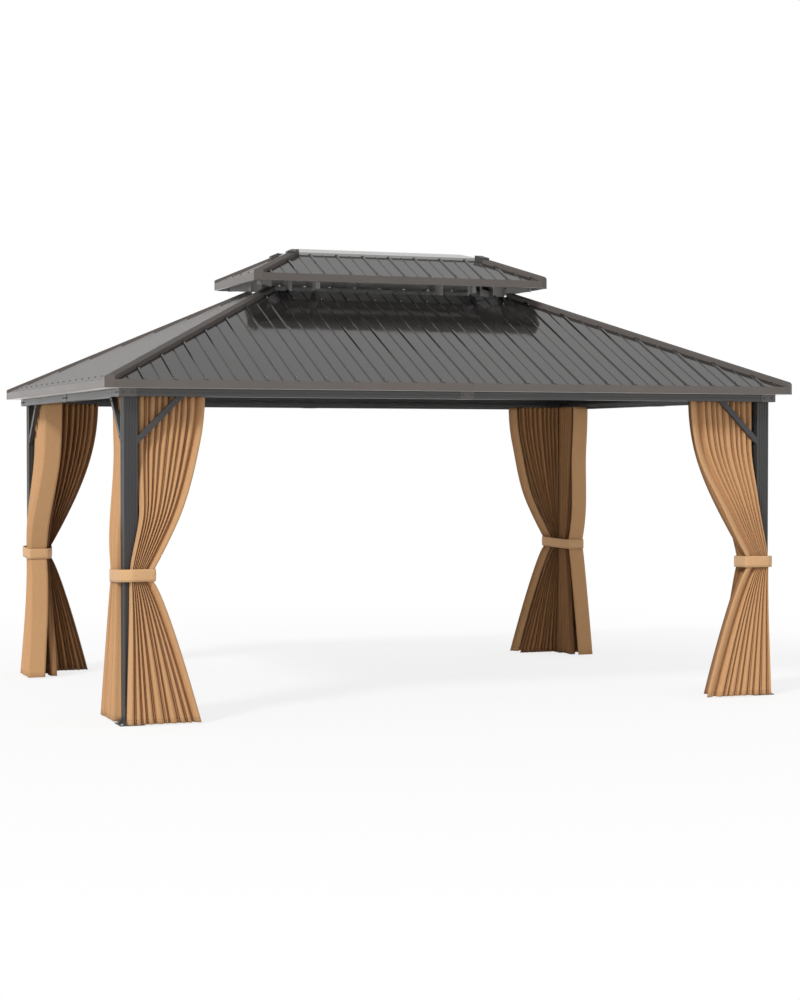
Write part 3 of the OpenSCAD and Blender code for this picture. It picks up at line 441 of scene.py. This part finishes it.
def hanging_sheet(name, edges, line, pleats, depth, thick, border, turned, lobes, seed, to_world):
    """A sheet in pleats with a smaller fold behind each pair, tied at its waist, with a flat border."""
    random = np.random.default_rng(seed)
    phase = random.uniform(0, 2 * math.pi, (pleats + 1, 3))
    strength = random.uniform(LEAST_SWELL, 1.0, pleats + 1)
    back = np.r_[0, np.full(pleats - 1, BACK_HEIGHT), 0]
    shares = np.linspace(0, 1, pleats * PLEAT_STEPS + 1)
    strip = np.linspace(0, 1, TURN_STEPS if turned else BORDER_STEPS)[1:]
    place = shares * pleats
    first = np.minimum(place.astype(int), pleats - 1)
    part = place - first
    gap = np.minimum(part, 1 - part)
    front = np.sin(math.pi / 2 * np.clip((gap - BACK_FOLD) / (0.5 - BACK_FOLD), 0, 1)) ** PLEAT_ROUND
    behind = back[first + (part > 0.5)] * np.cos(math.pi / 2 * np.clip(gap / BACK_FOLD, 0, 1))
    wave = lobes * (2 * (front + behind) - 1.0)
    points = []
    for z in sheet_rows():
        start, free = edges(z)
        middle = line(z)
        tied = math.exp(-(((z - TIE) / TIE_SPREAD) ** 2))
        across = TURN_WIDE if turned else min(BORDER_SHARE * border, BORDER_MOST * (free - start))
        end = free - across
        fold = (end - start) / pleats
        drift = DRIFT * (1 - TIED_STILL * tied)
        uneven = DRIFT_EVEN + DRIFT_UNEVEN * np.sin(phase[:, 1] + DRIFT_BEAT * z)
        nudge = drift * np.sin(phase[:, 0] + DRIFT_BEND * z) * uneven
        nudge[0] = nudge[-1] = 0
        knots = (np.arange(pleats + 1) + nudge) * fold
        narrow = min(BACK_MOST, max(BACK_LEAST, BACK_GAP / fold))
        room = np.interp(part, (0, BACK_FOLD, 1 - BACK_FOLD, 1), (0, narrow, 1 - narrow, 1))
        along = start + knots[first] * (1 - room) + knots[first + 1] * room
        swell = strength[first] * (1 - part) + strength[first + 1] * part
        swell = swell * (1 + SWELL_CHANGE * np.sin(phase[first, 2] + SWELL_BEND * z))
        deep = middle + 0.5 * depth * np.minimum(swell, 1.0) * wave
        if turned:
            outer = middle - 0.5 * depth
            edge_deep = np.interp(strip, TURN_SHARES, (deep[-1], outer + TURN_SET, outer, outer + border))
            edge_along = end + across * np.interp(strip, TURN_SHARES, TURN_ALONG)
        else:
            proud = middle + BORDER_PROUD * lobes * depth
            edge_deep = deep[-1] + (proud - deep[-1]) * np.sin(math.pi * strip * BORDER_BEND)
            edge_along = end + across * strip
        row_along, row_deep = np.append(along, edge_along), np.append(deep, edge_deep)
        points.append(np.column_stack([row_along, row_deep, np.full(len(row_along), z)]))
    grid = np.array(points)
    rows, columns = grid.shape[:2]
    starts = [r * columns + c for r in range(rows - 1) for c in range(columns - 1)]
    faces = [(a, a + 1, a + columns + 1, a + columns) for a in starts]
    mesh = bpy.data.meshes.new(name)
    mesh.from_pydata([to_world(*spot) for row in grid for spot in row], [], faces)
    run, drop = steps_along(grid[rows // 2]), steps_along(grid[:, columns // 2])
    flat = mesh.uv_layers.new(name="flat")
    for loop in mesh.loops:
        flat.data[loop.index].uv = (run[loop.vertex_index % columns], drop[loop.vertex_index // columns])
    return walled(name, mesh, thick), run[-1]


STITCHES = 160


def weave_group():
    """Plain weave on the flat cloth: warp and weft, slubs, a slow change of tone, and a stitched hem seam."""
    tree, given, out = new_group(
        "weave",
        {"Colour": (0.5, 0.3, 0.15, 1), "Shadow": (0.3, 0.17, 0.08, 1), "Threads": 900.0, "Seam": 0.03},
        {"Colour": "NodeSocketColor", "Height": "NodeSocketFloat"},
    )
    flat = add(tree, "ShaderNodeUVMap", uv_map="flat").outputs[0]
    parts = add(tree, "ShaderNodeSeparateXYZ", {0: flat}).outputs
    lines, slubs = [], []
    for axis, scale in (("X", (260.0, 14.0, 1.0)), ("Y", (14.0, 260.0, 1.0))):
        turn = calc(tree, "MULTIPLY", calc(tree, "MULTIPLY", parts[axis], given["Threads"]), 2 * math.pi)
        lines.append(calc(tree, "SINE", turn))
        drawn = add(tree, "ShaderNodeMapping", {"Vector": flat, "Scale": scale}).outputs[0]
        slubs.append(noise(tree, drawn, 1.0, 3.0))
    cross = calc(tree, "MULTIPLY", lines[0], lines[1])
    both = calc(tree, "ADD", slubs[0], slubs[1])
    cloud = noise(tree, flat, 3.0, 4.0)
    tone = calc(tree, "ADD", stretch(tree, both, 0.7, 1.3, 0, 0.75), stretch(tree, cloud, 0.3, 0.7, 0, 0.25))
    off = calc(tree, "ABSOLUTE", calc(tree, "SUBTRACT", parts["Y"], given["Seam"]))
    beat = calc(tree, "SINE", calc(tree, "MULTIPLY", parts["X"], 2 * math.pi * STITCHES))
    stitch = stretch(tree, beat, -0.5, 0.0, 0.3, 1)
    seam = calc(tree, "MULTIPLY", stretch(tree, off, 0.0006, 0.0022, 1, 0), stitch)
    woven = mix_colour(tree, tone, given["Shadow"], given["Colour"])
    dark = add(tree, "ShaderNodeVectorMath", {0: given["Shadow"], "Scale": 0.55}, operation="SCALE").outputs[0]
    tree.links.new(mix_colour(tree, seam, woven, dark), out["Colour"])
    tree.links.new(calc(tree, "SUBTRACT", calc(tree, "ADD", cross, both), seam), out["Height"])
    return tree


WEAVE = weave_group()


def cloth(name, colour, shadow, threads, sheen, seam=0.03):
    """A woven cloth with a soft sheen."""
    material = bpy.data.materials.new(name)
    material.use_nodes = True
    tree = material.node_tree
    shader = tree.nodes["Principled BSDF"]
    woven = add(tree, "ShaderNodeGroup", node_tree=WEAVE)
    for label, value in (("Colour", (*colour, 1)), ("Shadow", (*shadow, 1)), ("Threads", threads), ("Seam", seam)):
        woven.inputs[label].default_value = value
    tree.links.new(woven.outputs["Colour"], shader.inputs["Base Color"])
    links = {"Strength": 0.25, "Distance": 0.0006, "Height": woven.outputs["Height"]}
    tree.links.new(add(tree, "ShaderNodeBump", links).outputs[0], shader.inputs["Normal"])
    shader.inputs["Roughness"].default_value = 0.82
    shader.inputs["Sheen Weight"].default_value = sheen
    shader.inputs["Sheen Roughness"].default_value = 0.5
    return material, tree, shader, woven


tan_cloth = cloth("tan_cloth", (0.60, 0.34, 0.158), (0.515, 0.28, 0.122), 900.0, 0.12)[0]
glider_plastic = painted("glider_plastic", (0.36, 0.35, 0.33), 0.4, edge=0.0005)


def corner_place(sx, sy, side):
    """Turns a place along and across a side, from the post's outer corner, into the object's frame."""
    if side == "x":
        return lambda along, across, z: (sx * (POST_X - along), sy * (POST_Y - across), z)
    return lambda along, across, z: (sx * (POST_X - across), sy * (POST_Y - along), z)


CURTAIN_LINE, TIE_LINE, HEM_LINE, SIDE_LINE = 0.062, -0.038, -0.071, 0.0
CURTAIN_START, TIE_START, SIDE_HEM_START = 0.099, 0.03, 0.131
START_RISE, START_DROP, HEM_EASE = 0.13, 0.3, 0.5
UPPER_CURVE, LOWER_CURVE = 0.95, 0.8
BORDER = {"front_left": 0.056, "front_right": 0.088, "back_left": 0.06, "back_right": 0.06}
SIDE_BORDER = 0.134
SIDE_HEM_LINE = {"front_left": -0.02, "front_right": -0.025, "back_left": -0.09, "back_right": -0.02}
SIDE_TOP_FREE = {"front_left": 0.45, "front_right": 0.539, "back_left": 0.55, "back_right": 0.47}
SIDE_WAIST_FREE = 0.255
SIDE_HEM_FREE = {"front_left": 0.50, "front_right": 0.50, "back_left": 0.50, "back_right": 0.42}
TOP_FREE = {"front_left": 0.535, "front_right": 0.595, "back_left": 0.539, "back_right": 0.56}
WAIST_FREE = {"front_left": 0.176, "front_right": 0.205, "back_left": 0.185, "back_right": 0.19}
HEM_FREE = {"front_left": 0.475, "front_right": 0.53, "back_left": 0.48, "back_right": 0.49}


def free_edge(z, hem, waist, top):
    """Place of a free edge at a height: a full curve down to the waist, then a fan to the hem."""
    over = max(0.0, (z - WAIST_HIGH) / (TOP - WAIST_HIGH))
    below = max(0.0, (WAIST_LOW - z) / (WAIST_LOW - HEM))
    drawn_back = (top - waist) * math.sin(math.pi / 2 * over) ** UPPER_CURVE
    return waist + drawn_back + (hem - waist) * below ** LOWER_CURVE


def front_edges(corner):
    """Post edge and free edge of a curtain that the tie-back draws in front of the post."""
    hem, waist, top = HEM_FREE[corner], WAIST_FREE[corner], TOP_FREE[corner]

    def start(z):
        if z > WAIST_LOW:
            return TIE_START + (CURTAIN_START - TIE_START) * ease(z, WAIST_LOW, OUT_Z + START_RISE)
        return TIE_START * ease(z, HEM - START_DROP, WAIST_LOW)

    return lambda z: (start(z), free_edge(z, hem, waist, top))


def side_edges(corner):
    """Post edge and free edge of a curtain that stays beside the post."""
    hem, top = SIDE_HEM_FREE[corner], SIDE_TOP_FREE[corner]

    def start(z):
        return float(np.interp(z, (HEM, WAIST_LOW), (SIDE_HEM_START, CURTAIN_START)))

    return lambda z: (start(z), free_edge(z, hem, SIDE_WAIST_FREE, top))


def middle_line(hem, waist, out):
    """Distance from the post's outer face to the middle of a curtain, by height."""

    def line(z):
        if z > out:
            return waist + (CURTAIN_LINE - waist) * ease(z, out, BRACE_FOOT)
        return waist + (hem - waist) * (1 - ease(z, HEM - HEM_EASE, WAIST_LOW))

    return line


PLEATS = {"x": 9, "y": 6}
CURTAIN_SEED = 40
OUTWARD, INWARD = -1, 1
for number, (corner, (sx, sy)) in enumerate(CORNERS.items()):
    front_line = middle_line(HEM_LINE, TIE_LINE, OUT_Z)
    side_line = middle_line(SIDE_HEM_LINE[corner], SIDE_LINE, SIDE_OUT_Z)
    made = (
        ("x", BORDER[corner], front_edges, front_line),
        ("y", SIDE_BORDER, side_edges, side_line),
    )
    for side, border, edges, line in made:
        piece, _ = hanging_sheet(
            name="curtain_" + corner + "_" + side,
            edges=edges(corner),
            line=line,
            pleats=PLEATS[side],
            depth=CURTAIN_DEPTH,
            thick=CURTAIN_THICK,
            border=border,
            turned=side == "y",
            lobes=OUTWARD,
            seed=CURTAIN_SEED + 2 * number + (side == "y"),
            to_world=corner_place(sx, sy, side),
        )
        piece.data.materials.append(tan_cloth)
        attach(piece, "root")
        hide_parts("curtains_" + corner)

TRACK_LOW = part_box("curtain_tracks")[0][2]
GLIDERS, GLIDER_START, GLIDER_END = 8, 0.115, 0.02
gliders = []
for corner, (sx, sy) in CORNERS.items():
    for side, reach in (("x", TOP_FREE[corner]), ("y", SIDE_TOP_FREE[corner])):
        place = corner_place(sx, sy, side)
        for along in np.linspace(GLIDER_START, reach - GLIDER_END, GLIDERS):
            gliders.append((place(along, CURTAIN_LINE, TRACK_LOW), (0, 0, -1)))
GLIDER_SIZES = {
    "Head Radius": 0.003,
    "Head Height": 0.0035,
    "Washer Radius": 0.006,
    "Washer Height": 0.0015,
    "Finish": glider_plastic,
}
spread_screws("curtain_gliders", gliders, GLIDER_SIZES)

# Nets. Inside the curtains hang brown mesh panels cut like them and gathered a little narrower, with a plain bound
# edge. They hang from the inner track and go through the same tie-back.
NET_EDGE_COLOUR, NET_COVER = (0.26, 0.13, 0.055, 1), 0.80
net_cloth, tree, shader, woven = cloth("net_cloth", (0.50, 0.255, 0.105), (0.38, 0.185, 0.070), 500.0, 0.05)
edge_mark = add(tree, "ShaderNodeAttribute", attribute_name="border").outputs["Fac"]
bound = mix_colour(tree, edge_mark, woven.outputs["Colour"], NET_EDGE_COLOUR)
tree.links.new(bound, shader.inputs["Base Color"])
tree.links.new(stretch(tree, edge_mark, 0, 1, NET_COVER, 1.0), shader.inputs["Alpha"])
NET_LINE, NET_TIE_LINE, NET_HEM_LINE = 0.136, {"x": 0.066, "y": 0.100}, {"x": 0.080, "y": 0.115}
NET_START, NET_CLEAR = 0.105, 0.036
NET_DEPTH, NET_THICK = 0.054, 0.0004
NET_BORDER, NET_HEM = 0.022, 0.018
NET_PLEATS, NET_SEED = {"x": 10, "y": 7}, 80
NET_BACK = {
    "front_left": (0.040, 0.040, 0.060),
    "front_right": (0.044, 0.055, 0.080),
    "back_left": (0.012, 0.020, 0.030),
    "back_right": (0.044, 0.030, 0.012),
}
SIDE_NET_BACK = (0.04, 0.034, 0.04)


def net_edges(corner, side):
    """Post edge and free edge of a net, which ends short of the curtain beside it."""
    if side == "x":
        free, short = (TOP_FREE[corner], WAIST_FREE[corner], HEM_FREE[corner]), NET_BACK[corner]
    else:
        free, short = (SIDE_TOP_FREE[corner], SIDE_WAIST_FREE, SIDE_HEM_FREE[corner]), SIDE_NET_BACK
    top, waist, hem = (edge - back for edge, back in zip(free, short))
    start = (lambda z: NET_START) if side == "x" else (lambda z: net_line("x")(z) + NET_CLEAR)
    return lambda z: (start(z), free_edge(z, hem, waist, top))


def net_line(side):
    """Distance from the post's outer face to the middle of a net, by height."""
    tie, hem = NET_TIE_LINE[side], NET_HEM_LINE[side]

    def line(z):
        if z > TIE:
            return tie + (NET_LINE - tie) * ease(z, TIE, BRACE_FOOT)
        return tie + (hem - tie) * ease(TIE - z, 0.0, TIE - HEM)

    return line


for number, (corner, (sx, sy)) in enumerate(CORNERS.items()):
    for side in ("x", "y"):
        piece, run = hanging_sheet(
            name="net_" + corner + "_" + side,
            edges=net_edges(corner, side),
            line=net_line(side),
            pleats=NET_PLEATS[side],
            depth=NET_DEPTH,
            thick=NET_THICK,
            border=NET_BORDER,
            turned=False,
            lobes=INWARD,
            seed=NET_SEED + 2 * number + (side == "y"),
            to_world=corner_place(sx, sy, side),
        )
        mark = piece.data.attributes.new("border", "FLOAT", "CORNER")
        for spot, value in zip(piece.data.uv_layers["flat"].data, mark.data):
            value.value = 1.0 if spot.uv.x > run - NET_BORDER or spot.uv.y < NET_HEM else 0.0
        piece.data.materials.append(net_cloth)
        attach(piece, "root")
        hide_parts("nets_" + corner)

# Tie-backs. A strap of the curtain cloth, sewn double, goes round each post with its curtains and nets. It lies on
# the folds and is a little slack. The strap's colour is a lighter copy of the curtain cloth's: painted light for the
# flat strap.
# A lighter copy of the curtain cloth, painted light on the flat strap.
strap_lit_cloth = cloth("strap_lit_cloth", (0.68, 0.41, 0.205), (0.60, 0.35, 0.168), 900.0, 0.12, seam=0.010)[0]
STRAP_OUT, STRAP_BACK = 0.013, 0.015
STRAP_ROUND, STRAP_THICK, STRAP_STEPS, STRAP_LEVELS = 0.02, 0.003, 5, 7
STRAP_SAG, SAG_START, STRAP_BELLY, BELLY_NEAR = 0.008, 0.8, 0.0025, 0.05
CUT_MOST = 0.45
STRAP_PATH = (
    (0.03, -0.073),
    (0.0, -0.073),
    (0.172, 0.10),
    (0.15, 0.20),
    (0.115, 0.266),
    (-0.034, 0.266),
    (-0.034, 0.0),
)


def rounded_loop(path, radius, steps):
    """A closed path with its corners rounded, as points."""
    points = []
    count = len(path)
    for i in range(count):
        before, here, after = (Vector(path[(i + k) % count]) for k in (-1, 0, 1))
        to, away = (before - here), (after - here)
        cut = min(radius, CUT_MOST * to.length, CUT_MOST * away.length)
        first, last = here + to.normalized() * cut, here + away.normalized() * cut
        for k in range(steps + 1):
            t = k / steps
            points.append((1 - t) ** 2 * first + 2 * t * (1 - t) * here + t * t * last)
    return points


for corner, (sx, sy) in CORNERS.items():
    path = list(STRAP_PATH)
    path[1] = (WAIST_FREE[corner] + STRAP_OUT, path[1][1])
    path[2] = (max(path[2][0], WAIST_FREE[corner] - STRAP_BACK), path[2][1])
    loop = rounded_loop(path, STRAP_ROUND, STRAP_STEPS)
    place = corner_place(sx, sy, "x")
    name = "tie_strap_" + corner
    levels = STRAP_LEVELS
    vertices, faces, lengths = [], [], []
    length = 0.0
    for i, spot in enumerate(loop):
        lengths.append(length)
        length += (loop[(i + 1) % len(loop)] - spot).length
    for i, spot in enumerate(loop):
        sag = STRAP_SAG * math.sin(2 * math.pi * lengths[i] / length + SAG_START)
        for k in range(levels):
            share = k / (levels - 1)
            out = 1 + STRAP_BELLY * math.sin(math.pi * share) / max(BELLY_NEAR, spot.length)
            vertices.append(place(spot.x * out, spot.y * out, WAIST_LOW + STRAP * share + sag))
    for i in range(len(loop)):
        for k in range(levels - 1):
            a, b = i * levels + k, ((i + 1) % len(loop)) * levels + k
            faces.append((a, b, b + 1, a + 1))
    mesh = bpy.data.meshes.new(name)
    mesh.from_pydata(vertices, [], faces)
    flat_map = mesh.uv_layers.new(name="flat")
    closing = (len(loop) - 1) * (levels - 1)
    for polygon in mesh.polygons:
        for loop_index in polygon.loop_indices:
            ring, level = divmod(mesh.loops[loop_index].vertex_index, levels)
            wrapped = length if ring == 0 and polygon.index >= closing else lengths[ring]
            flat_map.data[loop_index].uv = (wrapped, STRAP * level / (levels - 1))
    piece = walled(name, mesh, STRAP_THICK)
    piece.data.materials.append(strap_lit_cloth)
    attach(piece, "root")
    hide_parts("tie_backs")

# Studio. A pale floor that keeps the shadow and fades to white, a soft sun from the left front and an even white
# surround. The camera stands to the left of the front at eye height, level with the beams.
scene = bpy.context.scene
scene.view_settings.view_transform = "Standard"


def seen_rays(tree):
    """1 where the camera, a gloss or a clear surface looks, and 0 where light is gathered."""
    rays = add(tree, "ShaderNodeLightPath").outputs
    seen = calc(tree, "MAXIMUM", rays["Is Camera Ray"], rays["Is Glossy Ray"])
    return calc(tree, "MAXIMUM", seen, rays["Is Transmission Ray"])


AMBIENT = 0.64
world = bpy.data.worlds.new("surround")
world.use_nodes = True
scene.world = world
tree = world.node_tree
tree.nodes.clear()
level = stretch(tree, seen_rays(tree), 0, 1, AMBIENT, 1.0)
sky = add(tree, "ShaderNodeBackground", {"Color": (1, 1, 1, 1), "Strength": level}).outputs[0]
tree.links.new(sky, add(tree, "ShaderNodeOutputWorld").inputs["Surface"])

FLOOR_REACH = 60.0
FADE_NEAR, FADE_FAR, FADE_START = 3.0, 8.0, 0.80
floor_mesh = bpy.data.meshes.new("floor")
floor_corners = [(FLOOR_REACH * x, FLOOR_REACH * y, 0) for x, y in ((-1, -1), (1, -1), (1, 1), (-1, 1))]
floor_mesh.from_pydata(floor_corners, [], [(0, 1, 2, 3)])
floor = bpy.data.objects.new("floor", floor_mesh)
scene.collection.objects.link(floor)
pale = bpy.data.materials.new("pale_floor")
pale.use_nodes = True
tree = pale.node_tree
tree.nodes.clear()
spot = add(tree, "ShaderNodeTexCoord").outputs["Object"]
far = add(tree, "ShaderNodeVectorMath", {0: spot}, operation="LENGTH").outputs["Value"]
fade = calc(tree, "MULTIPLY", seen_rays(tree), stretch(tree, far, FADE_NEAR, FADE_FAR, FADE_START, 1.0))
matt = add(tree, "ShaderNodeBsdfDiffuse", {"Color": (0.84, 0.84, 0.84, 1)}).outputs[0]
glow = add(tree, "ShaderNodeEmission", {"Color": (1, 1, 1, 1), "Strength": 1.0}).outputs[0]
mixed = add(tree, "ShaderNodeMixShader", {0: fade, 1: matt, 2: glow}).outputs[0]
tree.links.new(mixed, add(tree, "ShaderNodeOutputMaterial").inputs["Surface"])
floor_mesh.materials.append(pale)

SUN_FROM, SUN_POWER, SUN_WIDE = (-0.68, -0.48, 0.66), 1.9, math.radians(10)
sun = bpy.data.lights.new("key", "SUN")
sun.energy = SUN_POWER
sun.angle = SUN_WIDE
key = bpy.data.objects.new("key", sun)
key.rotation_euler = Vector(SUN_FROM).to_track_quat("Z", "Y").to_euler()
scene.collection.objects.link(key)

EYE, EYE_DIP, EYE_TURN = (-5.2117, -14.19255, 1.73935), 0.0257, -0.36182
camera = bpy.data.cameras.new("camera")
camera.lens = 73.745
camera.sensor_width = 36
eye = bpy.data.objects.new("camera", camera)
eye.location = EYE
eye.rotation_euler = (math.pi / 2 - EYE_DIP, 0, EYE_TURN)
scene.collection.objects.link(eye)
scene.camera = eye
